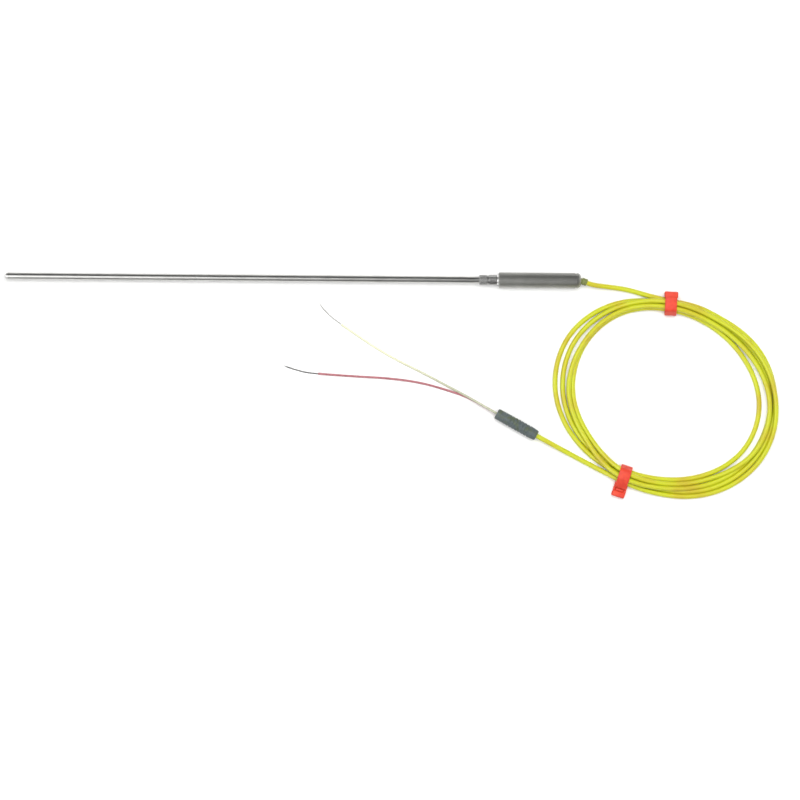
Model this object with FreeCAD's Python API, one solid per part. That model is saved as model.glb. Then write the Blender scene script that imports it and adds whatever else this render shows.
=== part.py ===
"""Mineral-insulated thermocouple with a crimped pot seal, a coiled two-core lead and bare tails.

Millimetres. The origin is on the sheath's axis at the front face of the crimp ferrule, where the
immersed length ends. +X runs from the tip towards the lead, +Z is up, and the whole thing lies on
a flat surface at z = -pot_d / 2.
"""

import FreeCAD
import Part

import math
import os

Vector = FreeCAD.Vector
X_AXIS = Vector(1, 0, 0)
Z_AXIS = Vector(0, 0, 1)

# ---- probe: lengths are along X ----
immersed_length = 244.0      # tip to the ferrule's front face
sheath_d = 3.6
sheath_wall = 0.4
sheath_crimped_d = 3.2       # squeezed waist under the ferrule
sheath_end_x = 18.0          # the sheath's open end, inside the pot
tip_weld_length = 1.2
tip_corner_radius = 0.55

wire_d = 0.51                # thermoelement
wire_offset = 0.55           # each wire's distance from the sheath's axis
junction_setback = 3.8       # tip to the centre of the hot junction
bead_d = 0.76
end_seal_length = 0.8

# ---- crimp ferrule ----
ferrule_d = 5.5
ferrule_flat = 5.14          # across the eight crimp flats
ferrule_length = 9.3
ferrule_groove_x = 4.15
ferrule_groove_width = 0.9
ferrule_groove_d = 4.9
ferrule_chamfer = 0.45
ferrule_neck_d = 4.6
ferrule_flange_length = 2.0

# ---- pot ----
pot_front_x = 10.0
pot_d = 7.94                 # five sixteenths of an inch
pot_length = 42.5
pot_wall = 0.6
pot_front_wall = 1.0
pot_chamfer = 0.4
pot_rolled_radius = 2.3      # rear shoulder, rolled in over the bush
pot_groove_setback = 3.0     # rolled groove, from the rear end
pot_groove_width = 0.7
pot_groove_depth = 0.25

# ---- cable bush ----
bush_flange_length = 3.0
bush_neck_d = 3.6
bush_waist_d = 2.95
bush_proud = 3.1             # stands out behind the pot
bush_waist_length = 0.9
bush_edge_radius = 0.35

# ---- splices in the pot ----
splice_offset = 1.12         # each splice's distance from the axis
splice_start_x = 26.0
splice_length = 6.0
splice_d = 1.4
splice_sleeve_d = 1.9
splice_sleeve_overhang = 1.6
jog_start_x = 19.0           # where the thermoelements begin to spread apart
jog_end_x = 23.0
core_jog_start_x = 36.0
core_jog_end_x = 40.5
core_stripped_x = 35.0       # the insulated cores are stripped in front of this
jacket_end_x = 44.0          # the lead's jacket ends here, inside the pot

# ---- lead ----
lead_d = 2.5
core_d = 1.1
strands_d = 0.6              # seven strands of 0.2 mm
core_pitch = 1.15            # centre to centre where the cores leave the jacket
floor_z = -pot_d / 2
lead_floor_z = floor_z + lead_d / 2
core_floor_z = floor_z + core_d / 2
tip_floor_z = floor_z + 0.35

# ---- coil: outline radii every 30 degrees from +X, about the coil's centre ----
coil_centre = (96.8, -59.8)
coil_outer = (58.3, 54.9, 50.6, 51.9, 57.0, 61.2, 58.6, 52.2, 50.1, 51.6, 56.8, 60.1)
coil_inner = (46.1, 42.9, 41.6, 43.9, 47.6, 48.5, 46.1, 42.5, 41.1, 40.7, 43.6, 46.8)
coil_height = 5.1

# ---- coil ties ----
tie_strap_width = 6.1
tie_strap_thickness = 1.2
tie_hold_radius = 1.45       # the strap's inner bend round one strand of the bundle
tie_layer_rise = 2.17        # upper layer of strands over the lower one
tie_half_width = 2.7         # outermost strands of the lower layer
tie_head_length = 7.6
tie_head_width = 6.9
tie_head_thickness = 3.2
tie_head_edge_radius = 0.7
tie_slot_width = 1.4         # the slot that the strap's free end comes out of
tie_slot_depth = 1.8
upper_tie_angle = 87.5       # places round the coil, in degrees from +X
upper_tie_radius = 47.6
upper_tie_turn = 88.0        # the way the tie's own outer end points
upper_head_reach = 3.8       # the bundle's middle to the upright head
upper_loop_reach = 3.4
upper_slot_rise = 4.6
lower_tie_angle = 242.3
lower_tie_radius = 45.5
lower_tie_turn = 252.5
lower_head_reach = 4.0       # the bundle's middle to the flat head
lower_loop_reach = 4.6
lower_slot_reach = 7.2

# ---- tail sleeve ----
tail_rear = Vector(30.3, -80.0, floor_z + 2.95)
tail_front = Vector(9.7, -68.7, floor_z + 2.95)
tail_d = 5.9
tail_front_d = 5.5
tail_front_edge = 0.3
tail_shoulder_d = 5.8        # where the rear taper starts
tail_shoulder_setback = 3.4
tail_rear_d = 4.8
tail_rear_lip_d = 5.3
tail_rear_lip = 0.5
tail_rib_count = 7
tail_first_rib = 7.6
tail_rib_pitch = 1.75
tail_rib_groove = 0.7
tail_rib_depth = 0.24
tail_jacket_depth = 9.5      # how far the lead's jacket reaches into the sleeve
tail_run_in = 4.4            # the lead is in line with the sleeve this far behind it

# ---- routes of the free lead and its two cores ----
tail_direction = (tail_front - tail_rear).normalize()
jacket_in_tail = tail_rear + tail_direction * tail_jacket_depth
core_rise = Vector(0, 0, core_pitch / 2)

entry_route = [
    Vector(jacket_end_x, 0, 0),
    Vector(58.5, 0, 0),
    Vector(73.0, -3.7, lead_floor_z),
    Vector(86.0, -7.0, lead_floor_z + 0.2),
    Vector(96.4, -9.6, lead_floor_z + 1.2),
]
tail_route = [
    Vector(71.2, -101.4, lead_floor_z + 1.2),
    Vector(60.4, -96.0, lead_floor_z),
    Vector(46.6, -88.8, lead_floor_z),
    tail_rear - tail_direction * tail_run_in,
    jacket_in_tail,
]
red_route = [
    jacket_in_tail - core_rise,
    Vector(8.3, -67.93, tail_rear.z - core_pitch / 2),
    Vector(-5.5, -60.3, core_floor_z),
    Vector(-16.0, -56.9, core_floor_z),
    Vector(-29.0, -53.2, core_floor_z),
    Vector(-46.0, -51.0, core_floor_z),
    Vector(-65.0, -50.2, core_floor_z),
    Vector(-82.5, -49.0, core_floor_z),
]
yellow_route = [
    jacket_in_tail + core_rise,
    Vector(8.3, -67.93, tail_rear.z + core_pitch / 2),
    Vector(-5.5, -60.1, core_floor_z + 1.3),
    Vector(-15.6, -54.9, core_floor_z),
    Vector(-29.0, -47.9, core_floor_z),
    Vector(-45.0, -40.2, core_floor_z),
    Vector(-59.0, -31.6, core_floor_z),
    Vector(-70.6, -23.6, core_floor_z),
]
red_bare_route = [
    Vector(-82.5, -49.0, core_floor_z),
    Vector(-87.5, -48.66, core_floor_z),
    Vector(-94.0, -47.2, tip_floor_z),
    Vector(-100.1, -45.1, tip_floor_z),
]
yellow_bare_route = [
    Vector(-70.6, -23.6, core_floor_z),
    Vector(-74.6, -20.84, core_floor_z),
    Vector(-79.0, -17.0, tip_floor_z),
    Vector(-82.4, -12.7, tip_floor_z),
]

parts = {}


def keep(name, shape):
    """Files one named sub-part, after checking that it is a sound solid."""
    if not shape.isValid() or shape.Volume <= 0:
        raise ValueError(f"{name} is not a sound solid")
    parts[name] = shape


def rod(x_start, x_end, diameter, y=0.0):
    """A cylinder along X."""
    return Part.makeCylinder(diameter / 2, x_end - x_start, Vector(x_start, y, 0), X_AXIS)


def tube(x_start, x_end, outer_d, inner_d, y=0.0):
    """A tube along X."""
    return rod(x_start, x_end, outer_d, y).cut(rod(x_start - 1, x_end + 1, inner_d, y))


def rims(shape, x, diameter):
    """The circular edges of that diameter round the X axis at x."""
    found = []
    for edge in shape.Edges:
        curve = edge.Curve
        if not isinstance(curve, Part.Circle):
            continue
        if abs(curve.Center.x - x) < 0.01 and abs(curve.Radius - diameter / 2) < 0.01:
            found.append(edge)
    return found


def rounded_wire(route, name):
    """Straight runs joined by tangent arcs, and the wire's length."""
    edges = []
    radii = []
    start = route[0]
    for before, here, after in zip(route, route[1:], route[2:]):
        back = before - here
        onward = after - here
        shorter = min(back.Length, onward.Length)
        half_turn = (math.pi - back.getAngle(onward)) / 2
        setback = 0.45 * shorter
        radius = setback / math.tan(half_turn)
        back.normalize()
        onward.normalize()
        inward = (back + onward).normalize()
        middle = here + inward * (radius / math.cos(half_turn) - radius)
        arc_start = here + back * setback
        arc_end = here + onward * setback
        edges.append(Part.LineSegment(start, arc_start).toShape())
        edges.append(Part.Arc(arc_start, middle, arc_end).toShape())
        radii.append(round(radius, 1))
        start = arc_end
    edges.append(Part.LineSegment(start, route[-1]).toShape())
    wire = Part.Wire(edges)
    print(f"{name}: length {wire.Length:.1f}, arc radii {radii}")
    return wire


def swept(route, diameter, name):
    """A round solid along a route, its volume compared with section times length."""
    wire = rounded_wire(route, name)
    circle = Part.makeCircle(diameter / 2, route[0], route[1] - route[0])
    solid = wire.makePipeShell([Part.Wire(circle)], True, False)
    expected = math.pi * diameter ** 2 / 4 * wire.Length
    if abs(solid.Volume - expected) > 0.01 * expected:
        raise ValueError(f"{name} has volume {solid.Volume:.2f}, not {expected:.2f}")
    return solid


# ---- the measuring end ----

def make_thermoelement(side):
    """One full-length wire, spreading to its splice behind the sheath's end."""
    y = side * wire_offset
    spread = side * splice_offset
    route = [
        Vector(junction_setback - immersed_length, y, 0),
        Vector(jog_start_x, y, 0),
        Vector(jog_end_x, spread, 0),
        Vector(splice_start_x + splice_length / 2, spread, 0),
    ]
    return swept(route, wire_d, "thermoelement")


def make_bead():
    """The welded hot junction: a capsule across the two wires' ends."""
    x = junction_setback - immersed_length
    low = Vector(x, -wire_offset, 0)
    high = Vector(x, wire_offset, 0)
    bar = Part.makeCylinder(bead_d / 2, 2 * wire_offset, low, Vector(0, 1, 0))
    return bar.fuse([Part.makeSphere(bead_d / 2, low), Part.makeSphere(bead_d / 2, high)]).removeSplitter()


def make_tip_weld():
    """The disc that closes the sheath, with a rounded rim."""
    tip_x = -immersed_length
    disc = rod(tip_x, tip_x + tip_weld_length, sheath_d)
    return disc.makeFillet(tip_corner_radius, rims(disc, tip_x, sheath_d))


def make_sheath():
    """The drawn tube, squeezed to a waist under the ferrule."""
    start = tip_weld_length - immersed_length
    inner_d = sheath_d - 2 * sheath_wall
    body = rod(start, 0, sheath_d)
    waist = rod(0, ferrule_length, sheath_crimped_d)
    end = rod(ferrule_length, sheath_end_x, sheath_d)
    return body.fuse([waist, end]).removeSplitter().cut(rod(start - 1, sheath_end_x + 1, inner_d))


def make_measuring_end():
    inner_d = sheath_d - 2 * sheath_wall
    bead = make_bead()
    positive = make_thermoelement(1)
    negative = make_thermoelement(-1)
    packed = rod(tip_weld_length - immersed_length, sheath_end_x - end_seal_length, inner_d)
    seal = rod(sheath_end_x - end_seal_length, sheath_end_x, inner_d)
    keep("tip_weld", make_tip_weld())
    keep("sheath_tube", make_sheath())
    keep("hot_junction_bead", bead)
    keep("thermoelement_positive", positive.cut(bead))
    keep("thermoelement_negative", negative.cut(bead))
    keep("mgo_insulation", packed.cut([positive, negative, bead]))
    keep("sheath_end_seal", seal.cut([positive, negative]))


# ---- the pot seal ----

def octagon_bar(x_start, x_end, across_flats, turn):
    """An eight-sided bar along X."""
    corner = across_flats / 2 / math.cos(math.pi / 8)
    points = []
    for side in range(9):
        angle = math.radians(45 * side + turn)
        points.append(Vector(x_start, corner * math.cos(angle), corner * math.sin(angle)))
    return Part.Face(Part.makePolygon(points)).extrude(Vector(x_end - x_start, 0, 0))


def make_ferrule():
    """A crimped nose in front of the pot, and a flange behind the pot's front wall."""
    flange_x = pot_front_x + pot_front_wall
    rear_x = flange_x + ferrule_flange_length
    front_barrel = rod(0, ferrule_groove_x, ferrule_d)
    rear_barrel = rod(ferrule_groove_x + ferrule_groove_width, ferrule_length, ferrule_d)
    front_barrel = front_barrel.makeChamfer(ferrule_chamfer, rims(front_barrel, 0, ferrule_d))
    rear_barrel = rear_barrel.makeChamfer(ferrule_chamfer, rims(rear_barrel, ferrule_length, ferrule_d))
    front_barrel = front_barrel.common(octagon_bar(-1, ferrule_length, ferrule_flat, 22.5))
    rear_barrel = rear_barrel.common(octagon_bar(0, ferrule_length + 1, ferrule_flat, 0))
    groove = rod(ferrule_groove_x, ferrule_groove_x + ferrule_groove_width, ferrule_groove_d)
    neck = rod(ferrule_length, flange_x, ferrule_neck_d)
    flange = rod(flange_x, rear_x, pot_d - 2 * pot_wall)
    body = front_barrel.fuse([groove, rear_barrel, neck, flange]).removeSplitter()
    crimped_bore = rod(-1, ferrule_length, sheath_crimped_d)
    rear_bore = rod(ferrule_length, rear_x + 1, sheath_d)
    return body.cut([crimped_bore, rear_bore])


def make_pot():
    """A thin drawn tube, with a front wall and a rear shoulder rolled in over the bush."""
    rear_x = pot_front_x + pot_length
    shell = rod(pot_front_x, rear_x, pot_d)
    shell = shell.makeChamfer(pot_chamfer, rims(shell, pot_front_x, pot_d))
    shell = shell.makeFillet(pot_rolled_radius, rims(shell, rear_x, pot_d))
    inside_d = pot_d - 2 * pot_wall
    inside = rod(pot_front_x + pot_front_wall, rear_x - pot_wall, inside_d)
    inside = inside.makeFillet(pot_rolled_radius - pot_wall, rims(inside, rear_x - pot_wall, inside_d))
    front_hole = rod(pot_front_x - 1, pot_front_x + pot_front_wall + 1, ferrule_neck_d)
    rear_hole = rod(rear_x - pot_wall - 1, rear_x + 1, bush_waist_d)
    groove_x = rear_x - pot_groove_setback
    groove = tube(groove_x, groove_x + pot_groove_width, pot_d + 2, pot_d - 2 * pot_groove_depth)
    return shell.cut([inside, front_hole, rear_hole, groove]), inside


def make_bush(pot_inside):
    """The cable's bush: a plug inside the rolled shoulder, and a neck behind it."""
    pot_rear = pot_front_x + pot_length
    plug = rod(pot_rear - pot_wall - bush_flange_length, pot_rear - pot_wall, pot_d - 2 * pot_wall)
    plug = plug.common(pot_inside)
    waist = rod(pot_rear - pot_wall, pot_rear + bush_waist_length, bush_waist_d)
    neck = rod(pot_rear + bush_waist_length, pot_rear + bush_proud, bush_neck_d)
    neck = neck.makeFillet(bush_edge_radius, rims(neck, pot_rear + bush_proud, bush_neck_d))
    return plug.fuse([waist, neck]).removeSplitter()


def make_core_end(side):
    """One insulated core inside the pot, and its stripped conductor."""
    y = side * core_pitch / 2
    spread = side * splice_offset
    jog = [
        Vector(jacket_end_x, y, 0),
        Vector(core_jog_end_x, y, 0),
        Vector(core_jog_start_x, spread, 0),
    ]
    insulated = jog + [Vector(core_stripped_x - 2, spread, 0)]
    conductor = jog + [Vector(splice_start_x + splice_length / 2, spread, 0)]
    wire = swept(conductor, strands_d, "pot conductor")
    sleeve = swept(insulated, core_d, "pot core").cut(wire)
    trim = Part.makeBox(4, 4, 4, Vector(core_stripped_x - 4, spread - 2, -2))
    return sleeve.cut(trim), wire


def make_splice(side, thermoelement, conductor):
    """A crimp sleeve over the two wires' ends, and the insulating sleeve over it."""
    y = side * splice_offset
    end_x = splice_start_x + splice_length
    crimp = rod(splice_start_x, end_x, splice_d, y).cut([thermoelement, conductor])
    cover = tube(
        splice_start_x - splice_sleeve_overhang,
        end_x + splice_sleeve_overhang,
        splice_sleeve_d,
        splice_d,
        y,
    )
    return crimp, cover


def make_pot_seal(entry):
    pot, pot_inside = make_pot()
    ferrule = make_ferrule()
    bush = make_bush(pot_inside).cut(entry)
    keep("crimp_ferrule", ferrule)
    keep("pot_body", pot)
    keep("cable_bush", bush)
    sheath_outside = rod(pot_front_x, sheath_end_x, sheath_d)
    buried = [sheath_outside, entry]
    for side, polarity in ((1, "positive"), (-1, "negative")):
        thermoelement = parts[f"thermoelement_{polarity}"]
        insulation, conductor = make_core_end(side)
        crimp, cover = make_splice(side, thermoelement, conductor)
        keep(f"splice_{polarity}", crimp)
        keep(f"splice_sleeve_{polarity}", cover)
        keep(f"pot_core_{polarity}", insulation)
        keep(f"pot_conductor_{polarity}", conductor)
        buried += [thermoelement, insulation, conductor, crimp, cover]
    start_x = pot_front_x + pot_front_wall + ferrule_flange_length
    end_x = pot_front_x + pot_length - pot_wall - bush_flange_length
    potting = rod(start_x, end_x, pot_d - 2 * pot_wall)
    keep("potting_compound", potting.cut(buried))


# ---- the coil, its ties and the tail ----

def closed_outline(radii):
    """A closed smooth curve through a radius every so many degrees round the coil's centre."""
    step = 2 * math.pi / len(radii)
    points = []
    for index, radius in enumerate(radii):
        x = coil_centre[0] + radius * math.cos(index * step)
        y = coil_centre[1] + radius * math.sin(index * step)
        points.append(Vector(x, y, floor_z))
    curve = Part.BSplineCurve()
    curve.interpolate(Points=points, PeriodicFlag=True)
    return Part.Wire(curve.toShape())


def make_coil():
    """The coil's outer shape as one solid ring."""
    outer = Part.Face(closed_outline(coil_outer)).extrude(Z_AXIS * coil_height)
    inner = Part.Face(closed_outline(coil_inner)).extrude(Z_AXIS * coil_height)
    return outer.cut(inner)


def offset_prism(corners, radius, width):
    """A prism whose section is the convex corners' outline grown by a radius, extruded along Y."""
    points = [Vector(u, -width / 2, z) for u, z in corners]
    outline = Part.makePolygon(points + points[:1])
    grown = outline.makeOffset2D(radius, 0, False, False, False)
    return Part.Face(grown).extrude(Vector(0, width, 0))


def make_tie(loop_end, head, slot):
    """A nylon tie round the bundle: +X points outwards from the coil, Y along the bundle.

    loop_end gives the hull's last two corners. head and slot are boxes whose Y sizes are set here.
    """
    low = floor_z + tie_strap_thickness + tie_hold_radius
    high = low + tie_layer_rise
    corners = [(-tie_half_width, low), (-tie_half_width / 2, high)] + loop_end(low, high)
    outside = offset_prism(corners, tie_hold_radius + tie_strap_thickness, tie_strap_width)
    opening = offset_prism(corners, tie_hold_radius, tie_strap_width + 2)
    block = box_across(head, tie_head_width)
    block = block.makeFillet(tie_head_edge_radius, [e for e in block.Edges if e.BoundBox.YLength < 0.01])
    loop = outside.cut(opening)
    return loop.fuse(block).cut(box_across(slot, tie_strap_width)).removeSplitter()


def box_across(sides, width):
    """A box from (x, z) to (x, z), centred across Y."""
    (x_low, z_low), (x_high, z_high) = sides
    return Part.makeBox(x_high - x_low, width, z_high - z_low, Vector(x_low, -width / 2, z_low))


def place_on_coil(shape, angle, radius, turn):
    """Moves a tie from its own frame to its place round the coil."""
    shape.rotate(Vector(0, 0, 0), Z_AXIS, turn)
    x = coil_centre[0] + radius * math.cos(math.radians(angle))
    y = coil_centre[1] + radius * math.sin(math.radians(angle))
    shape.translate(Vector(x, y, 0))
    return shape


def make_upper_tie():
    """Its head stands upright against the outside of the bundle."""
    head_end = upper_head_reach + tie_head_thickness
    slot_z = floor_z + upper_slot_rise
    tie = make_tie(
        lambda low, high: [(upper_loop_reach, high), (upper_loop_reach, low)],
        ((upper_head_reach, floor_z), (head_end, floor_z + tie_head_length)),
        ((head_end - tie_slot_depth, slot_z), (head_end + 1, slot_z + tie_slot_width)),
    )
    return place_on_coil(tie, upper_tie_angle, upper_tie_radius, upper_tie_turn)


def make_lower_tie():
    """Its head lies flat on the surface outside the bundle."""
    head_top = floor_z + tie_head_thickness
    tie = make_tie(
        lambda low, high: [(tie_half_width / 2, high), (lower_loop_reach, low)],
        ((lower_head_reach, floor_z), (lower_head_reach + tie_head_length, head_top)),
        ((lower_slot_reach, head_top - tie_slot_depth), (lower_slot_reach + tie_slot_width, head_top + 1)),
    )
    return place_on_coil(tie, lower_tie_angle, lower_tie_radius, lower_tie_turn)


def make_tail_sleeve():
    """The ribbed rubber sleeve over the jacket's end, turned about its own axis."""
    length = (tail_rear - tail_front).Length
    front_radius = tail_front_d / 2
    profile = [
        (0, 0),
        (0, front_radius - tail_front_edge),
        (tail_front_edge, front_radius),
        (length / 2, tail_d / 2),
        (length - tail_shoulder_setback, tail_shoulder_d / 2),
        (length - tail_rear_lip, tail_rear_lip_d / 2),
        (length, tail_rear_d / 2),
        (length, 0),
    ]
    points = [Vector(along, radius, 0) for along, radius in profile]
    face = Part.Face(Part.makePolygon(points + points[:1]))
    body = face.revolve(Vector(0, 0, 0), X_AXIS, 360)
    for rib in range(tail_rib_count):
        start = tail_first_rib + rib * tail_rib_pitch
        body = body.cut(tube(start, start + tail_rib_groove, tail_d + 2, tail_d - 2 * tail_rib_depth))
    back = tail_rear - tail_front
    body.rotate(Vector(0, 0, 0), Z_AXIS, math.degrees(math.atan2(back.y, back.x)))
    body.translate(tail_front)
    return body


def make_lead():
    entry = swept(entry_route, lead_d, "lead_entry")
    tail = swept(tail_route, lead_d, "lead_tail")
    upper_tie = make_upper_tie()
    lower_tie = make_lower_tie()
    keep("lead_entry", entry)
    keep("lead_tail", tail)
    keep("coil_tie_upper", upper_tie.cut(entry))
    keep("coil_tie_lower", lower_tie.cut(tail))
    keep("cable_coil", make_coil().cut([entry, tail, upper_tie, lower_tie]))
    red = swept(red_route, core_d, "core_red")
    yellow = swept(yellow_route, core_d, "core_yellow")
    keep("core_red", red)
    keep("core_yellow", yellow)
    keep("tail_sleeve", make_tail_sleeve().cut([tail, red, yellow]))
    keep("bare_end_red", swept(red_bare_route, strands_d, "bare_end_red"))
    keep("bare_end_yellow", swept(yellow_bare_route, strands_d, "bare_end_yellow"))
    return entry


make_measuring_end()
make_pot_seal(make_lead())
os.makedirs("parts", exist_ok=True)
for part_name, part_shape in sorted(parts.items()):
    part_shape.exportStep(f"parts/{part_name}.step")
    print(f"{part_name}: {len(part_shape.Solids)} solid(s), {part_shape.Volume:.2f} mm3")
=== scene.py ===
import math

import bmesh
import bpy
import numpy as np
from mathutils import Matrix, Vector, noise


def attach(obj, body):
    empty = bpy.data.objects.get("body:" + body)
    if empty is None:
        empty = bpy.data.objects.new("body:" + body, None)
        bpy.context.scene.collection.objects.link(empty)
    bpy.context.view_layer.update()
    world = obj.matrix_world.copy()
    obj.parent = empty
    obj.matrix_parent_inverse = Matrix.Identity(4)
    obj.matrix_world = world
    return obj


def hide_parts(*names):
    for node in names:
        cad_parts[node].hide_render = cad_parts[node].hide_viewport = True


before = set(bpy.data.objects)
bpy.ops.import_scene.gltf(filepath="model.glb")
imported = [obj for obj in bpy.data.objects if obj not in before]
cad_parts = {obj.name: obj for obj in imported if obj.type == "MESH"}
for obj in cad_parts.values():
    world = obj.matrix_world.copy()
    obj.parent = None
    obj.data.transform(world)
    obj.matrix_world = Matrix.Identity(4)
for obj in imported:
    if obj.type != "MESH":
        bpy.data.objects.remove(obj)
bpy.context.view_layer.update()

# Everything is in metres, in the frame of the CAD model: the origin is on the sheath's axis at the
# front face of the crimp ferrule, +X runs towards the lead, and the surface underneath is FLOOR_Z.
MM = 0.001
FLOOR_Z = -0.00397

# ---- camera ----
VIEW_CENTRE = (-0.0402, -0.0622)
VIEW_WIDTH = 0.412
VIEW_TURN = math.radians(0.49)
CAMERA_DISTANCE = 4.0

# ---- lead ----
LEAD_D = 0.0025
CORE_D = 0.0011
STRAND_D = 0.0002
STRAND_LAY = 0.0055          # one turn of the outer strands round the middle one
STRAND_SPLAY = 0.5           # how far they open at their cut ends, as a share of their spacing
LEAD_FLOOR = FLOOR_Z + LEAD_D / 2
LEAD_IN_SLEEVE = 0.0095      # how far the jacket reaches into the tail sleeve

# ---- coil: each turn's radius in mm every 30 degrees, clockwise from the upper tie ----
COIL_CENTRE = Vector((0.0968, -0.0598, 0.0))
COIL_START = 87.5
STATIONS = 24                # points of the lead per turn
TURN_RADII = (
    (50.2, 49.2, 53.9, 56.6, 55.8, 52.0, 47.0, 45.8, 50.8, 57.1, 59.3, 54.7),
    (47.7, 46.5, 51.1, 53.9, 53.2, 49.8, 46.0, 46.8, 46.2, 50.3, 51.0, 50.6),
    (46.5, 45.1, 48.4, 53.8, 54.1, 47.4, 44.7, 44.2, 44.3, 48.2, 50.2, 49.2),
    (45.2, 43.4, 44.8, 48.3, 48.6, 45.0, 42.2, 43.6, 48.3, 53.3, 55.3, 52.5),
    (49.0, 47.6, 52.3, 56.6, 58.3, 54.6, 49.5, 48.1),
)
# and its height in mm over the lowest layer
TURN_RISES = (
    (0.0, 0.0, 0.0, 0.0, 0.0, 0.0, 0.0, 0.0, 0.0, 0.0, 0.0, 0.0),
    (0.0, 0.0, 0.0, 0.0, 0.0, 0.2, 2.1, 2.2, 1.7, 1.2, 2.3, 2.1),
    (2.2, 2.1, 2.1, 2.5, 2.0, 0.0, 1.6, 2.2, 0.0, 0.0, 0.0, 0.0),
    (0.0, 0.0, 0.0, 0.0, 0.0, 0.0, 0.0, 0.0, 0.0, 0.0, 0.0, 1.2),
    (2.2, 2.1, 2.2, 2.4, 0.2, 0.0, 0.0, 0.0),
)
# the ties' straps pass under the lead here
TIE_ANGLES = (87.5, 242.3)
TIE_LIFT = 0.00145
TIE_LIFT_SPREAD = 26.0       # degrees either side over which the lead comes down again

# ---- ties, in mm: each in a frame of its own, +X outwards from the coil and Y along the bundle ----
STRAP_WIDTH = 6.1
STRAP_THICKNESS = 1.2
HOLD_RADIUS = 1.45
BASE = FLOOR_Z / MM
LOW_LAYER = BASE + STRAP_THICKNESS + HOLD_RADIUS
HIGH_LAYER = LOW_LAYER + 2.17
HEAD_LENGTH = 7.6
HEAD_WIDTH = 6.9
HEAD_THICKNESS = 3.2
HEAD_EDGE = 0.7
HEAD_SIDE_EDGE = 0.35
STRAP_EDGE = 0.3
TOOTH_PITCH = 1.0
TOOTH_STEPS = 4              # sections of the strap to a tooth
WINDOW_LENGTH = 1.4          # along the head, where the strap's cut end comes out
WINDOW_HALF = 2.35           # half its width
FLOOR_HALF = WINDOW_HALF + 0.2       # the window's floor runs into the sides
END_HALF = WINDOW_HALF - 0.3         # the strap's cut end is narrower than the window
WINDOW_DEPTH = 1.2
UPPER_HEAD_REACH = 3.8       # from the bundle's middle to the upright head
UPPER_WINDOW_FROM = 0.63
LOWER_HEAD_REACH = 4.0       # from the bundle's middle to the flat head
LOWER_WINDOW_FROM = 7.2


def scaled(points):
    """Points in mm as vectors in metres."""
    return [Vector(point) * MM for point in points]


# ---- routes of the free lead and its cores ----
TAIL_FRONT = Vector((0.0097, -0.0687, -0.00102))
TAIL_REAR = Vector((0.0303, -0.0800, -0.00102))
TAIL_DIRECTION = (TAIL_FRONT - TAIL_REAR).normalized()
JACKET_END = TAIL_REAR + TAIL_DIRECTION * LEAD_IN_SLEEVE
CORE_RISE = Vector((0, 0, 0.000575))      # each core's height over or under the lead's axis

ENTRY_ROUTE = scaled([
    (44.0, 0.0, 0.0),
    (48.5, 0.0, 0.0),
    (53.2, 0.0, 0.0),
    (58.0, -2.1, -0.4),
    (66.5, -3.0, -1.9),
    (76.5, -4.3, -2.72),
    (86.0, -7.0, -2.52),
    (96.4, -9.6, -1.52),
])
TAIL_ROUTE = scaled([
    (71.2, -101.4, -1.52),
    (60.4, -96.0, -2.72),
    (46.6, -88.8, -2.72),
])
TAIL_ROUTE += [TAIL_REAR - TAIL_DIRECTION * 0.0044, JACKET_END]
RED_ROUTE = [JACKET_END - CORE_RISE] + scaled([
    (8.3, -67.93, -1.595),
    (-5.5, -60.3, -3.42),
    (-16.0, -56.9, -3.42),
    (-29.0, -53.2, -3.42),
    (-46.0, -51.0, -3.42),
    (-65.0, -50.2, -3.42),
    (-82.5, -49.0, -3.42),
])
YELLOW_ROUTE = [JACKET_END + CORE_RISE] + scaled([
    (8.3, -67.93, -0.445),
    (-5.5, -60.1, -2.12),
    (-15.6, -54.9, -3.42),
    (-29.0, -47.9, -3.42),
    (-45.0, -40.2, -3.42),
    (-59.0, -31.6, -3.42),
    (-70.6, -23.6, -3.42),
])
RED_BARE_ROUTE = scaled([
    (-82.5, -49.0, -3.42),
    (-87.5, -48.66, -3.42),
    (-94.0, -47.2, -3.62),
    (-100.1, -45.1, -3.62),
])
YELLOW_BARE_ROUTE = scaled([
    (-70.6, -23.6, -3.42),
    (-74.6, -20.84, -3.42),
    (-79.0, -17.0, -3.62),
    (-82.4, -12.7, -3.62),
])


# ---- materials ----

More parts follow.
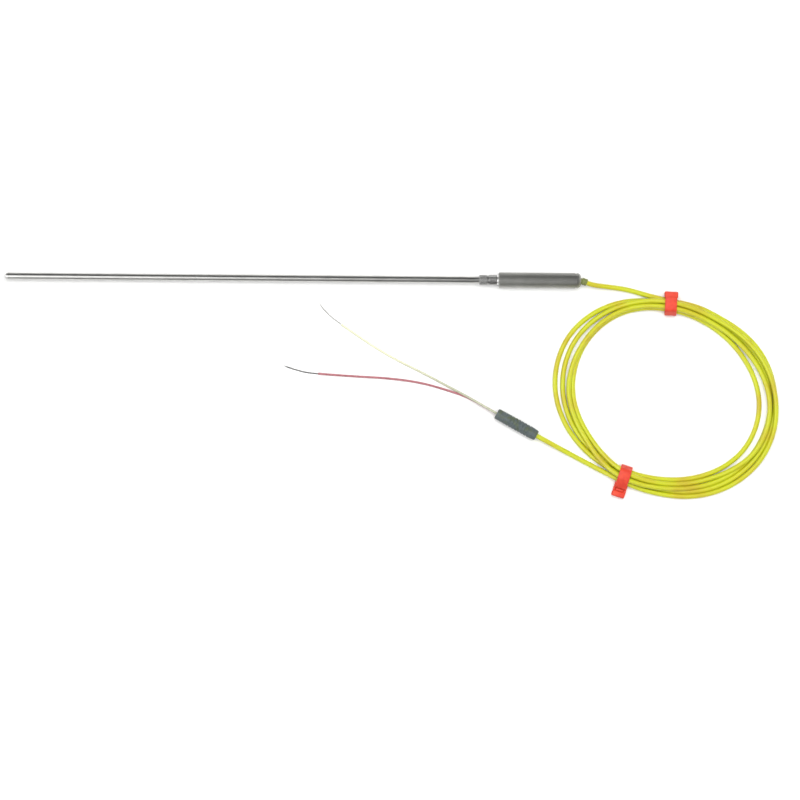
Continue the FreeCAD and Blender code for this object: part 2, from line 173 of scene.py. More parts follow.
class Surface:
    """A procedural material: a Principled shader, and textures laid in the object's own space."""

    def __init__(self, name, **constants):
        self.material = bpy.data.materials.new(name)
        self.material.use_nodes = True
        self.tree = self.material.node_tree
        self.shader = self.tree.nodes["Principled BSDF"]
        self.place = self.node("ShaderNodeTexCoord").outputs["Object"]
        for socket, value in constants.items():
            self.shader.inputs[socket.replace("_", " ")].default_value = value

    def node(self, kind, **inputs):
        made = self.tree.nodes.new(kind)
        for socket, value in inputs.items():
            made.inputs[socket].default_value = value
        return made

    def link(self, source, target):
        self.tree.links.new(source, target)

    def noise(self, scale, detail=3.0, stretch=(1, 1, 1)):
        """A noise whose features are stretched along the axes with small factors."""
        mapping = self.node("ShaderNodeMapping", Scale=stretch)
        self.link(self.place, mapping.inputs["Vector"])
        texture = self.node("ShaderNodeTexNoise", Scale=scale, Detail=detail)
        self.link(mapping.outputs["Vector"], texture.inputs["Vector"])
        return texture.outputs["Fac"]

    def ramp(self, factor, stops):
        """Colours (or greys) along a factor: (place, colour) pairs."""
        made = self.node("ShaderNodeValToRGB")
        elements = made.color_ramp.elements
        while len(elements) < len(stops):
            elements.new(0.5)
        for element, (at, colour) in zip(elements, stops):
            element.position = at
            element.color = (*colour, 1.0)
        self.link(factor, made.inputs["Fac"])
        return made.outputs["Color"]

    def mix(self, factor, low, high):
        """The low colour where the factor is 0, and the high one where it is 1."""
        made = self.tree.nodes.new("ShaderNodeMix")
        made.data_type = "RGBA"
        if isinstance(factor, float):
            made.inputs["Factor"].default_value = factor
        else:
            self.link(factor, made.inputs["Factor"])
        low_socket, high_socket = [socket for socket in made.inputs if socket.type == "RGBA"]
        self.link(low, low_socket)
        self.link(high, high_socket)
        return next(socket for socket in made.outputs if socket.type == "RGBA")

    def along_x(self, start, end):
        """Rises from 0 to 1 between two places along X."""
        split = self.node("ShaderNodeSeparateXYZ")
        self.link(self.place, split.inputs["Vector"])
        made = self.node("ShaderNodeMapRange")
        made.inputs["From Min"].default_value = start
        made.inputs["From Max"].default_value = end
        self.link(split.outputs["X"], made.inputs["Value"])
        return made.outputs["Result"]

    def range(self, factor, low, high):
        """Runs between two values as the factor goes from 0 to 1."""
        made = self.node("ShaderNodeMapRange")
        made.inputs["To Min"].default_value = low
        made.inputs["To Max"].default_value = high
        self.link(factor, made.inputs["Value"])
        return made.outputs["Result"]

    def colour(self, socket):
        self.link(socket, self.shader.inputs["Base Color"])

    def roughness(self, socket):
        self.link(socket, self.shader.inputs["Roughness"])

    def bump(self, factor, depth):
        """A bump of a given depth in metres."""
        made = self.node("ShaderNodeBump", Distance=depth)
        self.link(factor, made.inputs["Height"])
        self.link(made.outputs["Normal"], self.shader.inputs["Normal"])

    def scatter(self, radius):
        """Lets a little light in under the skin, as moulded plastic does."""
        self.shader.inputs["Subsurface Weight"].default_value = 0.12
        self.shader.inputs["Subsurface Radius"].default_value = radius
        self.shader.inputs["Subsurface Scale"].default_value = 1.0


def plain_variation(name, dark, light, scale, depth, roughness):
    """A surface whose colour, gloss and height vary over one scale, as moulded things do."""
    made = Surface(name)
    patches = made.noise(scale, 4.0)
    made.colour(made.ramp(patches, [(0.3, dark), (0.7, light)]))
    made.roughness(made.range(made.noise(scale * 2.3, 3.0), *roughness))
    made.bump(made.noise(scale * 6, 3.0), depth)
    return made


def drawn_steel(name, dark, light, along, roughness, depth):
    """Steel with fine lines: along is the stretch that draws them out."""
    made = Surface(name, Metallic=1.0)
    lines = made.noise(900, 4.0, along)
    patches = made.noise(160, 3.0)
    base = made.ramp(lines, [(0.3, dark), (0.7, light)])
    made.colour(made.mix(0.35, base, made.ramp(patches, [(0.35, dark), (0.65, light)])))
    made.roughness(made.range(lines, *roughness))
    made.bump(lines, depth)
    return made


def bare_alloy(name, dark, light, roughness):
    """Fine wire with a spotty tarnish."""
    made = Surface(name, Metallic=1.0)
    tarnish = made.noise(1400, 3.0)
    made.colour(made.ramp(tarnish, [(0.35, dark), (0.7, light)]))
    made.roughness(made.range(tarnish, *roughness))
    return made


def crimped_steel():
    """Mottled where it is crimped; in the neck before the pot a near-white colour is painted on as a
    highlight.
    """
    made = Surface("crimped_steel", Metallic=1.0)
    blotches = made.noise(1700, 4.0)
    crimped = made.ramp(blotches, [(0.35, (0.36, 0.36, 0.355)), (0.65, (0.53, 0.53, 0.52))])
    # painted highlight: the neck behind the crimps gets a near-white colour that stands for the glint
    # there
    painted_neck_highlight = made.ramp(blotches, [(0.3, (0.90, 0.90, 0.88)), (0.7, (0.95, 0.95, 0.94))])
    made.colour(made.mix(made.along_x(0.0092, 0.0093), crimped, painted_neck_highlight))
    made.roughness(made.range(blotches, 0.5, 0.3))
    made.bump(blotches, 1.4e-5)
    return made


def yellow_jacket():
    """Yellow that drifts to orange in long patches, under a fine grain."""
    made = Surface("yellow_jacket", IOR=1.48, Coat_Weight=0.3, Coat_Roughness=0.25)
    broad = made.noise(60, 3.0)
    fine = made.noise(2600, 3.0)
    patches = made.ramp(broad, [
        (0.42, (0.56, 0.60, 0.017)),
        (0.54, (0.56, 0.53, 0.017)),
        (0.66, (0.53, 0.42, 0.020)),
    ])
    grain = made.ramp(fine, [(0.4, (0.42, 0.37, 0.02)), (0.6, (0.78, 0.84, 0.045))])
    made.colour(made.mix(0.12, patches, grain))
    made.roughness(made.range(broad, 0.32, 0.46))
    made.bump(fine, 6e-6)
    made.scatter((0.0009, 0.0008, 0.0002))
    return made


def yellow_core():
    """Pale yellow, greyer near the tail sleeve."""
    made = Surface("yellow_core")
    grain = made.noise(900, 3.0)
    clean = made.ramp(grain, [(0.3, (0.76, 0.76, 0.50)), (0.7, (0.86, 0.86, 0.64))])
    # the colour turns greyer and darker between 50 mm and 12 mm on the tip's side of the ferrule's front
    # face, towards the tail sleeve
    greyed_near_sleeve = made.ramp(grain, [(0.3, (0.40, 0.42, 0.28)), (0.7, (0.54, 0.56, 0.41))])
    made.colour(made.mix(made.along_x(-0.050, -0.012), clean, greyed_near_sleeve))
    made.roughness(made.range(grain, 0.3, 0.45))
    made.bump(grain, 4e-6)
    return made


def coral_nylon():
    made = Surface("coral_nylon", IOR=1.53)
    mottle = made.noise(500, 3.0)
    made.colour(made.ramp(mottle, [(0.3, (0.66, 0.042, 0.021)), (0.7, (0.76, 0.068, 0.027))]))
    made.roughness(made.range(mottle, 0.42, 0.56))
    made.bump(made.noise(3000, 2.0), 4e-6)
    made.scatter((0.0012, 0.0004, 0.0004))
    return made


def slate_rubber():
    """Slate grey with olive stains."""
    made = Surface("slate_rubber")
    clean = made.ramp(made.noise(1600, 4.0), [(0.3, (0.064, 0.082, 0.086)), (0.7, (0.112, 0.138, 0.142))])
    olive = made.ramp(made.noise(1900, 4.0), [(0.3, (0.068, 0.088, 0.040)), (0.7, (0.120, 0.148, 0.076))])
    stained = made.ramp(made.noise(260, 3.0), [(0.50, (0, 0, 0)), (0.64, (0.8, 0.8, 0.8))])
    made.colour(made.mix(stained, clean, olive))
    made.roughness(made.range(made.noise(3700, 3.0), 0.5, 0.68))
    made.bump(made.noise(9600, 3.0), 1.2e-5)
    return made


# the stretches that draw fine lines out along X and round it
ALONG_X = (0.02, 1.0, 1.0)
ACROSS_X = (1.0, 0.05, 0.05)


def make_materials():
    made = {
        "sheath": drawn_steel(
            "drawn_sheath", (0.50, 0.50, 0.485), (0.68, 0.68, 0.66), ALONG_X, (0.29, 0.36), 4e-6),
        "weld": drawn_steel(
            "ground_weld", (0.80, 0.80, 0.78), (0.93, 0.93, 0.91), ACROSS_X, (0.25, 0.40), 6e-6),
        "pot": drawn_steel(
            "satin_pot", (0.39, 0.39, 0.37), (0.55, 0.55, 0.525), ALONG_X, (0.55, 0.68), 5e-6),
        "ferrule": crimped_steel(),
        "bush": plain_variation(
            "olive_bush", (0.115, 0.135, 0.038), (0.26, 0.29, 0.092), 1500, 1.5e-5, (0.45, 0.62)),
        "jacket": yellow_jacket(),
        "core_red": plain_variation(
            "red_core", (0.34, 0.11, 0.125), (0.52, 0.19, 0.215), 900, 4e-6, (0.3, 0.45)),
        "core_yellow": yellow_core(),
        "strands_red": bare_alloy(
            "dull_bare_strands", (0.20, 0.20, 0.20), (0.42, 0.41, 0.40), (0.5, 0.35)),
        "strands_yellow": bare_alloy(
            "bright_bare_strands", (0.86, 0.86, 0.84), (0.96, 0.95, 0.93), (0.7, 0.5)),
        "tie": coral_nylon(),
        "sleeve": slate_rubber(),
        "mineral": plain_variation(
            "packed_powder", (0.78, 0.77, 0.72), (0.90, 0.89, 0.86), 2500, 1e-5, (0.8, 0.95)),
        "seal": plain_variation(
            "epoxy_seal", (0.35, 0.18, 0.07), (0.50, 0.28, 0.12), 1200, 5e-6, (0.25, 0.4)),
        "potting": plain_variation(
            "potting_epoxy", (0.02, 0.02, 0.022), (0.05, 0.05, 0.055), 1200, 5e-6, (0.3, 0.5)),
        "splice": drawn_steel(
            "tinned_splice", (0.50, 0.46, 0.34), (0.72, 0.68, 0.55), ACROSS_X, (0.25, 0.4), 3e-6),
        "ptfe": plain_variation(
            "ptfe_sleeve", (0.72, 0.72, 0.70), (0.85, 0.85, 0.83), 1200, 4e-6, (0.35, 0.5)),
        "wire": drawn_steel(
            "alloy_wire", (0.38, 0.37, 0.34), (0.58, 0.56, 0.52), ALONG_X, (0.25, 0.4), 2e-6),
    }
    return {key: surface.material for key, surface in made.items()}


MATERIALS = make_materials()

CAD_LOOKS = {
    "tip_weld": "weld",
    "sheath_tube": "sheath",
    "hot_junction_bead": "wire",
    "thermoelement_positive": "wire",
    "thermoelement_negative": "wire",
    "mgo_insulation": "mineral",
    "sheath_end_seal": "seal",
    "pot_body": "pot",
    "splice_positive": "splice",
    "splice_negative": "splice",
    "splice_sleeve_positive": "ptfe",
    "splice_sleeve_negative": "ptfe",
    "pot_core_positive": "core_yellow",
    "pot_core_negative": "core_red",
    "pot_conductor_positive": "strands_yellow",
    "pot_conductor_negative": "strands_red",
    "potting_compound": "potting",
}


def dress_cad_nodes():
    for name, look in CAD_LOOKS.items():
        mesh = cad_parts[name].data
        mesh.materials.clear()
        mesh.materials.append(MATERIALS[look])


# ---- mesh helpers ----

def add_object(name, data, look):
    made = bpy.data.objects.new(name, data)
    bpy.context.scene.collection.objects.link(made)
    data.materials.append(MATERIALS[look])
    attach(made, "root")
    return made


def route_curve(name, points):
    """One open smooth spline with those control points."""
    curve = bpy.data.curves.new(name, "CURVE")
    curve.dimensions = "3D"
    spline = curve.splines.new("NURBS")
    spline.points.add(len(points) - 1)
    for point, place in zip(spline.points, points):
        point.co = (*place, 1.0)
    spline.order_u = 3
    spline.use_endpoint_u = True
    spline.resolution_u = 8
    return curve


def cord_curve(name, points, diameter, look):
    curve = route_curve(name, points)
    curve.bevel_depth = diameter / 2
    curve.bevel_resolution = 5
    curve.use_fill_caps = True
    return add_object(name, curve, look)


def route_line(points):
    """Points along the smooth spline of a route."""
    curve = route_curve("line", points)
    holder = bpy.data.objects.new("line", curve)
    mesh = bpy.data.meshes.new_from_object(holder)
    line = [vertex.co.copy() for vertex in mesh.vertices]
    bpy.data.objects.remove(holder)
    bpy.data.meshes.remove(mesh)
    bpy.data.curves.remove(curve)
    return line


def mesh_piece(name, shells, look, place=Matrix.Identity(4), sharp=40):
    """One mesh object from (points, faces) shells, smooth but for the edges over an angle."""
    points, faces = [], []
    for shell_points, shell_faces in shells:
        first = len(points)
        points += [place @ Vector(point) for point in shell_points]
        faces += [[first + index for index in face] for face in shell_faces]
    mesh = bpy.data.meshes.new(name)
    mesh.from_pydata(points, [], faces)
    work = bmesh.new()
    work.from_mesh(mesh)
    bmesh.ops.recalc_face_normals(work, faces=work.faces)
    work.to_mesh(mesh)
    work.free()
    mesh.shade_smooth()
    mesh.set_sharp_from_angle(angle=math.radians(sharp))
    return add_object(name, mesh, look)


def skin(rings, closed):
    """Faces over rings of equally many points: a closed band, or a rod with its ends capped."""
    count = len(rings[0])
    points = [point for ring in rings for point in ring]
    faces = []
    for ring in range(len(rings) if closed else len(rings) - 1):
        here, after = ring * count, (ring + 1) % len(rings) * count
        for side in range(count):
            onward = (side + 1) % count
            faces.append([here + side, here + onward, after + onward, after + side])
    if not closed:
        faces.append(list(range(count)))
        faces.append(list(range(len(points) - count, len(points))))
    return points, faces


def turned(profile, sides, radius_at=None):
    """A closed body turned about X from (x, radius) pairs. radius_at may change a radius."""
    rings = []
    for x, radius in profile:
        ring = []
        for side in range(sides):
            angle = 2 * math.pi * side / sides
            reach = radius_at(x, radius, angle) if radius_at else radius
            ring.append(Vector((x, reach * math.cos(angle), reach * math.sin(angle))))
        rings.append(ring)
    return skin(rings, closed=True)


def frames_along(line):
    """A direction and two cross directions at each point, carried along without twist."""
    side = Vector((0, 0, 1))
    frames = []
    for index in range(len(line)):
        ahead = line[min(index + 1, len(line) - 1)] - line[max(index - 1, 0)]
        ahead.normalize()
        side = (side - ahead * side.dot(ahead)).normalized()
        frames.append((ahead, side, ahead.cross(side)))
    return frames


# ---- the lead, its cores and their bare ends ----

def spread_round(rows):
    """Values every 15 degrees, smoothly between the given ones every 30 degrees."""
    chosen = np.array([value for row in rows for value in row])
    padded = np.concatenate([chosen[:1], chosen, chosen[-1:]])
    values = []
    for index in range(len(chosen) - 1):
        before, here, after, beyond = padded[index:index + 4]
        values += [here, (9 * (here + after) - before - beyond) / 16]
    return np.array(values + [chosen[-1]])


def settle(wanted, floor):
    """Pushes the turns apart to one diameter at each station, and keeps the pushes smooth."""
    rounds, kept = 400, 0.98
    own_share, smooth_share = 0.7, 0.3
    places = wanted.copy()
    for _ in range(rounds):
        moved = places - wanted
        smooth = (moved[:-2] + 2 * moved[1:-1] + moved[2:]) / 4
        places[1:-1] = wanted[1:-1] + kept * (own_share * moved[1:-1] + smooth_share * smooth)
        push_apart(places)
        places[:, 1] = np.maximum(places[:, 1], floor)
        places[0], places[-1] = wanted[0], wanted[-1]
    return places


def push_apart(places):
    """One step of the pushes between each two turns that are too close at a station."""
    for station in range(STATIONS):
        turns = places[station::STATIONS]
        for first in range(len(turns)):
            for second in range(first + 1, len(turns)):
                gap = turns[second] - turns[first]
                distance = max(math.hypot(*gap), 1e-9)
                if distance < LEAD_D:
                    push = gap * (0.5 * (LEAD_D - distance) / distance)
                    turns[first] -= push
                    turns[second] += push


def lift_at(angle):
    """How far the ties' straps lift the lead at a place round the coil."""
    lift = 0.0
    for tie_angle in TIE_ANGLES:
        off = abs((angle - tie_angle + 180) % 360 - 180)
        if off < TIE_LIFT_SPREAD:
            lift = max(lift, TIE_LIFT * math.cos(math.pi / 2 * off / TIE_LIFT_SPREAD) ** 2)
    return lift


def coil_points():
    """The lead's points round the coil, between the entry's last point and the tail's first."""
    radii = spread_round(TURN_RADII) * MM
    rises = spread_round(TURN_RISES) * MM
    angles = [COIL_START - station * 360 / STATIONS for station in range(len(radii))]
    floor = np.array([lift_at(angle) for angle in angles])
    places = settle(np.stack([radii, rises + floor], axis=1), floor)
    outset = 1 / math.cos(math.pi / STATIONS)
    points = []
    for angle, (radius, rise) in zip(map(math.radians, angles), places):
        reach = Vector((math.cos(angle), math.sin(angle), 0)) * radius * outset
        points.append(COIL_CENTRE + reach + Vector((0, 0, LEAD_FLOOR + rise)))
    return points[1:-1]


def make_lead(pieces_on_it):
    lead = cord_curve("lead", ENTRY_ROUTE + coil_points() + TAIL_ROUTE, LEAD_D, "jacket")
    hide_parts("lead_entry", "cable_coil", "lead_tail")


def make_cores(bare_ends):
    for colour, route in (("red", RED_ROUTE), ("yellow", YELLOW_ROUTE)):
        core = cord_curve(f"insulated_core_{colour}", route, CORE_D, f"core_{colour}")
        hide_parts(f"core_{colour}")


def twisted_strands(route):
    """Seven fine wires, six laid round the first, that open a little over their last third."""
    line = route_line(route)
    frames = frames_along(line)
    travelled = [0.0]
    for before, here in zip(line, line[1:]):
        travelled.append(travelled[-1] + (here - before).length)
    total = travelled[-1]
    shells = []
    for wire in range(7):
        rings = []
        for point, (_, side, across), gone in zip(line, frames, travelled):
            opening = max(0.0, (gone - 0.7 * total) / (0.3 * total))
            own_splay = STRAND_SPLAY * (0.6 + 0.4 * math.sin(wire * 2.4))
            reach = 0.0 if wire == 0 else STRAND_D * (1 + opening ** 2 * own_splay)
            angle = wire * math.pi / 3 + 2 * math.pi * gone / STRAND_LAY * (1 - 0.15 * opening)
            centre = point + (side * math.cos(angle) + across * math.sin(angle)) * reach
            rings.append(round_ring(centre, side, across, STRAND_D / 2, 8))
        trimmed = rings[:len(rings) - (wire * 5) % 4]
        shells.append(skin(trimmed, closed=False))
    return shells


def round_ring(centre, side, across, radius, count):
    """A circle of points in the plane of two directions."""
    ring = []
    for step in range(count):
        angle = 2 * math.pi * step / count
        ring.append(centre + (side * math.cos(angle) + across * math.sin(angle)) * radius)
    return ring


def make_bare_ends():
    made = {}
    for colour, route in (("red", RED_BARE_ROUTE), ("yellow", YELLOW_BARE_ROUTE)):
        ends = mesh_piece(f"bare_strands_{colour}", twisted_strands(route), f"strands_{colour}")
        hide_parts(f"bare_end_{colour}")
        made[colour] = ends
    return made


# ---- ties ----

def hull_path(corners, radius):
    """The closed path that runs at a distance round corners given clockwise, as (x, z) and normal."""
    path = []
    count = len(corners)
    for index in range(count):
        before, here, after = (Vector(corners[(index + step) % count]) for step in (-1, 0, 1))
        arriving = (here - before).normalized()
        leaving = (after - here).normalized()
        start = math.atan2(arriving.x, -arriving.y)
        turn = math.atan2(leaving.x, -leaving.y) - start
        turn = (turn + math.pi) % (2 * math.pi) - math.pi
        for step in range(9):
            angle = start + turn * step / 8
            normal = Vector((math.cos(angle), math.sin(angle)))
            path.append((here + normal * radius, normal))
    return path


def evenly(path, pitch):
    """The closed path again, with points a pitch apart."""
    points = [point for point, _ in path] + [path[0][0]]
    normals = [normal for _, normal in path] + [path[0][1]]
    runs = [(after - here).length for here, after in zip(points, points[1:])]
    total = sum(runs)
    count = round(total / pitch)
    even = []
    run, gone = 0, 0.0
    for index in range(count):
        wanted = total * index / count
        while gone + runs[run] < wanted:
            gone += runs[run]
            run += 1
        share = (wanted - gone) / max(runs[run], 1e-9)
        normal = normals[run].lerp(normals[run + 1], share).normalized()
        even.append((points[run].lerp(points[run + 1], share), normal))
    return even


def strap_section(tooth):
    """The strap's rounded outline as (across, outwards) pairs, with a toothed channel inside."""
    half, thick = STRAP_WIDTH / 2, STRAP_THICKNESS / 2
    outline = []
    for corner_x, corner_y, start in ((half, thick, 0), (-half, thick, 90), (-half, -thick, 180)):
        outline += rounded_corner(corner_x, corner_y, start)
    channel = 0.66 * half
    outline += [(-channel - 0.1, -thick), (-channel, -thick + tooth)]
    outline += [(channel, -thick + tooth), (channel + 0.1, -thick)]
    outline += rounded_corner(half, -thick, 270)
    return outline


def rounded_corner(x, y, start):
    """Points of the quarter circle that rounds a corner off, from an angle in degrees."""
    inner_x = x - math.copysign(STRAP_EDGE, x)
    inner_y = y - math.copysign(STRAP_EDGE, y)
    points = []
    for step in range(4):
        angle = math.radians(start + step * 30)
        points.append((inner_x + STRAP_EDGE * math.cos(angle), inner_y + STRAP_EDGE * math.sin(angle)))
    return points


def strap_loop(corners):
    """The strap round the bundle, with teeth on its inner side."""
    rings = []
    path = evenly(hull_path(corners, HOLD_RADIUS + STRAP_THICKNESS / 2), TOOTH_PITCH / TOOTH_STEPS)
    for index, (point, normal) in enumerate(path):
        tooth = 0.10 + 0.06 * (index % TOOTH_STEPS)
        ring = []
        for across, outwards in strap_section(tooth):
            place = point + normal * outwards
            ring.append(Vector((place.x, across, place.y)) * MM)
        rings.append(ring)
    return skin(rings, closed=True)


def bevelled_box(low, high, edge):
    """A box between two corners in mm, with rounded edges."""
    work = bmesh.new()
    middle = [(a + b) / 2 * MM for a, b in zip(low, high)]
    size = [(b - a) * MM for a, b in zip(low, high)]
    shape = Matrix.Translation(middle) @ Matrix.Diagonal((*size, 1))
    bmesh.ops.create_cube(work, size=1, matrix=shape)
    bmesh.ops.bevel(work, geom=work.edges[:], offset=edge * MM, segments=3, profile=0.5, affect="EDGES")
    work.verts.ensure_lookup_table()
    points = [vertex.co.copy() for vertex in work.verts]
    faces = [[vertex.index for vertex in face.verts] for face in work.faces]
    work.free()
    return points, faces


def make_tie(name, corners, head, angle, radius, turn):
    """Strap and head at a place round the coil, with the head's side turned to an angle."""
    place_angle = math.radians(angle)
    spot = COIL_CENTRE + Vector((math.cos(place_angle), math.sin(place_angle), 0)) * radius * MM
    place = Matrix.Translation(spot) @ Matrix.Rotation(math.radians(turn), 4, "Z")
    tie = mesh_piece(name, [strap_loop(corners)] + head, "tie", place, sharp=50)
    return tie


def upper_head():
    """Upright against the outside of the bundle, the strap's cut end standing out of its window."""
    near, far = UPPER_HEAD_REACH, UPPER_HEAD_REACH + HEAD_THICKNESS
    top = BASE + HEAD_LENGTH
    half = HEAD_WIDTH / 2
    low, high = UPPER_WINDOW_FROM, UPPER_WINDOW_FROM + WINDOW_LENGTH
    return [
        bevelled_box((near, -half, BASE), (far, half, low), HEAD_EDGE),
        bevelled_box((near, -half, high), (far, half, top), HEAD_EDGE),
        bevelled_box((near, -half, low - 0.5), (far, -WINDOW_HALF, high + 0.5), HEAD_SIDE_EDGE),
        bevelled_box((near, WINDOW_HALF, low - 0.5), (far, half, high + 0.5), HEAD_SIDE_EDGE),
        bevelled_box((near + 0.3, -FLOOR_HALF, low - 0.4), (far - 0.9, FLOOR_HALF, high + 0.4), 0.1),
        bevelled_box((near, -END_HALF, low + 0.12), (far - 0.25, END_HALF, low + 1.1), 0.15),
    ]


def lower_head():
    """Flat on the surface outside the bundle, the strap's cut end just proud in its window."""
    near, far = LOWER_HEAD_REACH, LOWER_HEAD_REACH + HEAD_LENGTH
    top = BASE + HEAD_THICKNESS
    half = HEAD_WIDTH / 2
    start, end = LOWER_WINDOW_FROM, LOWER_WINDOW_FROM + WINDOW_LENGTH
    deep = BASE + 0.17
    return [
        bevelled_box((near, -half, BASE), (start, half, top), HEAD_EDGE),
        bevelled_box((end, -half, BASE), (far, half, top), HEAD_EDGE),
        bevelled_box((start - 0.5, -half, BASE), (end + 0.5, -WINDOW_HALF, top), HEAD_SIDE_EDGE),
        bevelled_box((start - 0.5, WINDOW_HALF, BASE), (end + 0.5, half, top), HEAD_SIDE_EDGE),
        bevelled_box((start - 0.4, -FLOOR_HALF, deep), (end + 0.4, FLOOR_HALF, top - WINDOW_DEPTH), 0.1),
        bevelled_box((start + 0.1, -END_HALF, deep), (start + 1.1, END_HALF, top - 0.3), 0.15),
    ]


def make_ties():
    # each strap is drawn round these (x, z) corners, near the axes of the bundle's outer strands
    upper_corners = [(-2.7, LOW_LAYER), (-1.35, HIGH_LAYER), (3.4, HIGH_LAYER), (3.4, LOW_LAYER)]
    lower_corners = [(-2.7, LOW_LAYER), (-1.35, HIGH_LAYER), (1.35, HIGH_LAYER), (4.6, LOW_LAYER)]
    upper = make_tie(
        "coil_tie_upper_nylon", upper_corners, upper_head(), TIE_ANGLES[0], radius=47.6, turn=88.0)
    lower = make_tie(
        "coil_tie_lower_nylon", lower_corners, lower_head(), TIE_ANGLES[1], radius=45.5, turn=252.5)
    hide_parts("coil_tie_upper")
    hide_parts("coil_tie_lower")
    return [upper, lower]


# ---- tail sleeve, bush and crimp ferrule ----

POT_REAR = 52.6              # in mm: up to here the bush runs on the pot's axis
# the bush's outside from the pot's inner wall to its rear face, then its bore, as (x, radius) in mm
BUSH_PROFILE = (
    (49.0, 2.2), (51.7, 2.2), (51.9, 1.46), (53.1, 1.46), (53.25, 1.72), (53.45, 1.82), (54.1, 1.82),
    (54.25, 1.74), (54.4, 1.64), (54.55, 1.74), (54.7, 1.82), (55.2, 1.80), (55.45, 1.66), (55.55, 1.42),
    (55.5, 1.27), (49.2, 1.27),
)


# the grooves between the tail sleeve's ribs, in mm from its front face
GROOVES = 7
GROOVES_FROM = 7.6
GROOVE_PITCH = 1.75
GROOVE_WIDTH = 0.7
GROOVE_DEPTH = 0.24


def sleeve_radius(along, length):
    """The sleeve's outer radius in mm, grooves and all, from its front face."""
    chosen_at = (0.0, 0.3, length / 2, length - 3.4, length - 0.5, length)
    chosen = (2.45, 2.75, 2.95, 2.90, 2.65, 2.4)
    radius = float(np.interp(along, chosen_at, chosen))
    place = (along - GROOVES_FROM) / GROOVE_PITCH
    if 0 <= place < GROOVES:
        share = (place % 1.0) * GROOVE_PITCH / GROOVE_WIDTH
        if share < 1:
            radius -= GROOVE_DEPTH * math.sin(math.pi * share) ** 0.7
    return radius


def make_tail_sleeve():
    length = (TAIL_REAR - TAIL_FRONT).length / MM
    steps = 260
    places = [length * step / steps for step in range(steps + 1)]
    outside = [(along, sleeve_radius(along, length)) for along in places]
    rear_mouth = [(length - 0.02, 1.9), (length - 0.3, 1.5), (length - 0.8, 1.28), (length - 1.5, 1.24)]
    front_mouth = [(2.4, 1.24), (1.6, 1.30), (0.35, 1.42), (0.05, 1.62)]
    profile = [(x * MM, radius * MM) for x, radius in outside + rear_mouth + front_mouth]
    back = TAIL_REAR - TAIL_FRONT
    place = Matrix.Translation(TAIL_FRONT) @ Matrix.Rotation(math.atan2(back.y, back.x), 4, "Z")
    sleeve = mesh_piece("ribbed_tail_sleeve", [turned(profile, 72)], "sleeve", place, sharp=45)
    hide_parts("tail_sleeve")
    return sleeve


def make_bush():
    """A waist and a ribbed neck that follow the lead as it bends down behind the pot."""
    line = route_line(ENTRY_ROUTE)
    rings = []
    for x, radius in BUSH_PROFILE:
        after = next(index for index, point in enumerate(line) if point.x >= x * MM)
        share = (x * MM - line[after - 1].x) / (line[after].x - line[after - 1].x)
        centre = line[after - 1].lerp(line[after], share)
        ahead = (line[after] - line[after - 1]).normalized()
        if x < POT_REAR:
            centre, ahead = Vector((x * MM, 0, 0)), Vector((1, 0, 0))
        side = (Vector((0, 0, 1)) - ahead * ahead.z).normalized()
        rings.append(round_ring(centre, side, ahead.cross(side), radius * MM, 48))
    bush = mesh_piece("ribbed_cable_bush", [skin(rings, closed=True)], "bush", sharp=50)
    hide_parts("cable_bush")


CRIMP_END = 9.27             # in mm, like the waist: behind it the ferrule is turned, not crimped
CRIMP_WAIST = 4.6
CRIMP_FLAT = 0.00257         # from the axis to the middle of a pressed flat
CRIMP_LEAST = 0.0023         # what lies nearer the axis isn't pressed
CRIMP_MARK = 0.00004
CRIMP_GRAIN = 0.00003


def crimped_radius(x, radius, angle):
    """Eight pressed flats on each barrel, the rear ones turned a little, with shallow tool marks."""
    place = x / MM
    if not 0.0 < place < CRIMP_END or radius < CRIMP_LEAST:
        return radius
    turn = 0.0 if place < CRIMP_WAIST else math.pi / 30
    to_flat = (angle + turn + math.pi / 8) % (math.pi / 4) - math.pi / 8
    pressed = min(radius, CRIMP_FLAT / math.cos(to_flat))
    mark = CRIMP_MARK * math.sin(place * 7.0) * math.cos(to_flat * 8) ** 2
    spot = Vector((place * 1.3, math.cos(angle) * 3, math.sin(angle) * 3))
    return pressed - CRIMP_MARK + mark + CRIMP_GRAIN * noise.noise(spot)


def make_ferrule():
    """Two crimped barrels with a waist between them, then the neck and the flange in the pot."""
    outer = [(0.0, 1.62), (0.0, 2.25), (0.12, 2.42), (0.45, 2.70)]
    outer += [(0.45 + 0.12 * step, 2.75) for step in range(1, 30)]
    outer += [(4.02, 2.66), (4.15, 2.45), (4.6, 2.43), (5.05, 2.45), (5.18, 2.66)]
    outer += [(5.3 + 0.12 * step, 2.75) for step in range(30)]
    outer += [(9.0, 2.70), (9.22, 2.50), (9.28, 2.16), (10.0, 2.30), (11.0, 2.30)]
    outer += [(11.0, 3.36), (12.9, 3.36)]
    inner = [(12.9, 1.83), (9.4, 1.83), (9.3, 1.62), (6.0, 1.62)]
    profile = [(x * MM, radius * MM) for x, radius in outer + inner]
    ferrule = mesh_piece("crimped_ferrule", [turned(profile, 96, crimped_radius)], "ferrule", sharp=35)
    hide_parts("crimp_ferrule")


# ---- stage ----

def make_stage():
    bpy.ops.mesh.primitive_plane_add(size=12, location=(0, 0, FLOOR_Z))
    floor = bpy.context.object
    floor.name = "floor"
    surface = Surface("pale_floor", Roughness=0.9)
    tones = [(0.3, (0.965, 0.965, 0.96)), (0.7, (0.98, 0.98, 0.975))]
    surface.colour(surface.ramp(surface.noise(8, 2.0), tones))
    floor.data.materials.append(surface.material)


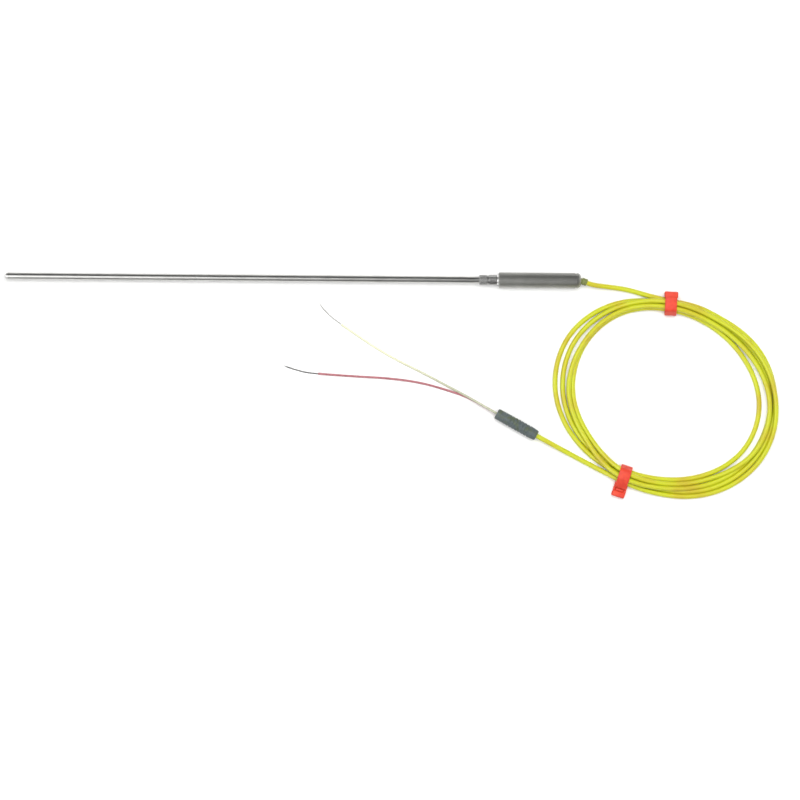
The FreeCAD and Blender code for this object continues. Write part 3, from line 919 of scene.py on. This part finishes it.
def add_area(name, place, aim, size, radiance, seen_by=("diffuse", "glossy")):
    """A soft light of a given brightness, which may light matt surfaces, shiny ones or both."""
    data = bpy.data.lights.new(name, "AREA")
    data.shape = "RECTANGLE"
    data.size, data.size_y = size
    data.energy = radiance * math.pi * size[0] * size[1]
    light = bpy.data.objects.new(name, data)
    light.location = place
    light.rotation_euler = (Vector(aim) - Vector(place)).to_track_quat("-Z", "Y").to_euler()
    light.visible_camera = False
    light.visible_diffuse = "diffuse" in seen_by
    light.visible_glossy = "glossy" in seen_by
    bpy.context.scene.collection.objects.link(light)


def make_lights():
    add_area("softbox", (-0.42, -0.235, 0.8), (-0.36, -0.05, 0), (0.54, 1.07), 2.4, seen_by=("glossy",))
    add_area("key_fill", (0.15, 0.55, 2.05), (0, -0.05, 0), (1.7, 1.3), 3.35, seen_by=("diffuse",))
    add_area("wide_fill", (0.1, 0.1, 2.4), (0, -0.05, 0), (3.8, 3.8), 1.68, seen_by=("diffuse",))
    add_area("front_fill", (0.0, -1.6, 0.7), (0, 0, 0), (2.4, 0.8), 0.5, seen_by=("diffuse",))
    add_area("front_card", (0.0, -1.6, 0.7), (0, 0, 0), (2.4, 0.8), 0.25)
    add_area("left_card", (-1.8, 0.0, 0.35), (0, 0, 0), (1.2, 0.6), 1.65)
    add_area("right_card", (1.8, 0.0, 0.35), (0, 0, 0), (1.2, 0.6), 1.1)
    world = bpy.data.worlds.new("studio")
    world.use_nodes = True
    world.node_tree.nodes["Background"].inputs["Color"].default_value = (1.0, 1.0, 1.0, 1.0)
    world.node_tree.nodes["Background"].inputs["Strength"].default_value = 0.09
    bpy.context.scene.world = world
    bpy.context.scene.view_settings.view_transform = "Standard"


def make_camera():
    data = bpy.data.cameras.new("camera")
    data.lens = data.sensor_width * CAMERA_DISTANCE / VIEW_WIDTH
    data.clip_start, data.clip_end = 0.05, 20
    camera = bpy.data.objects.new("camera", data)
    camera.location = (*VIEW_CENTRE, CAMERA_DISTANCE)
    camera.rotation_euler = (0, 0, VIEW_TURN)
    bpy.context.scene.collection.objects.link(camera)
    bpy.context.scene.camera = camera


dress_cad_nodes()
make_ferrule()
make_bush()
make_lead(make_ties() + [make_tail_sleeve()])
make_cores(make_bare_ends())
make_stage()
make_lights()
make_camera()
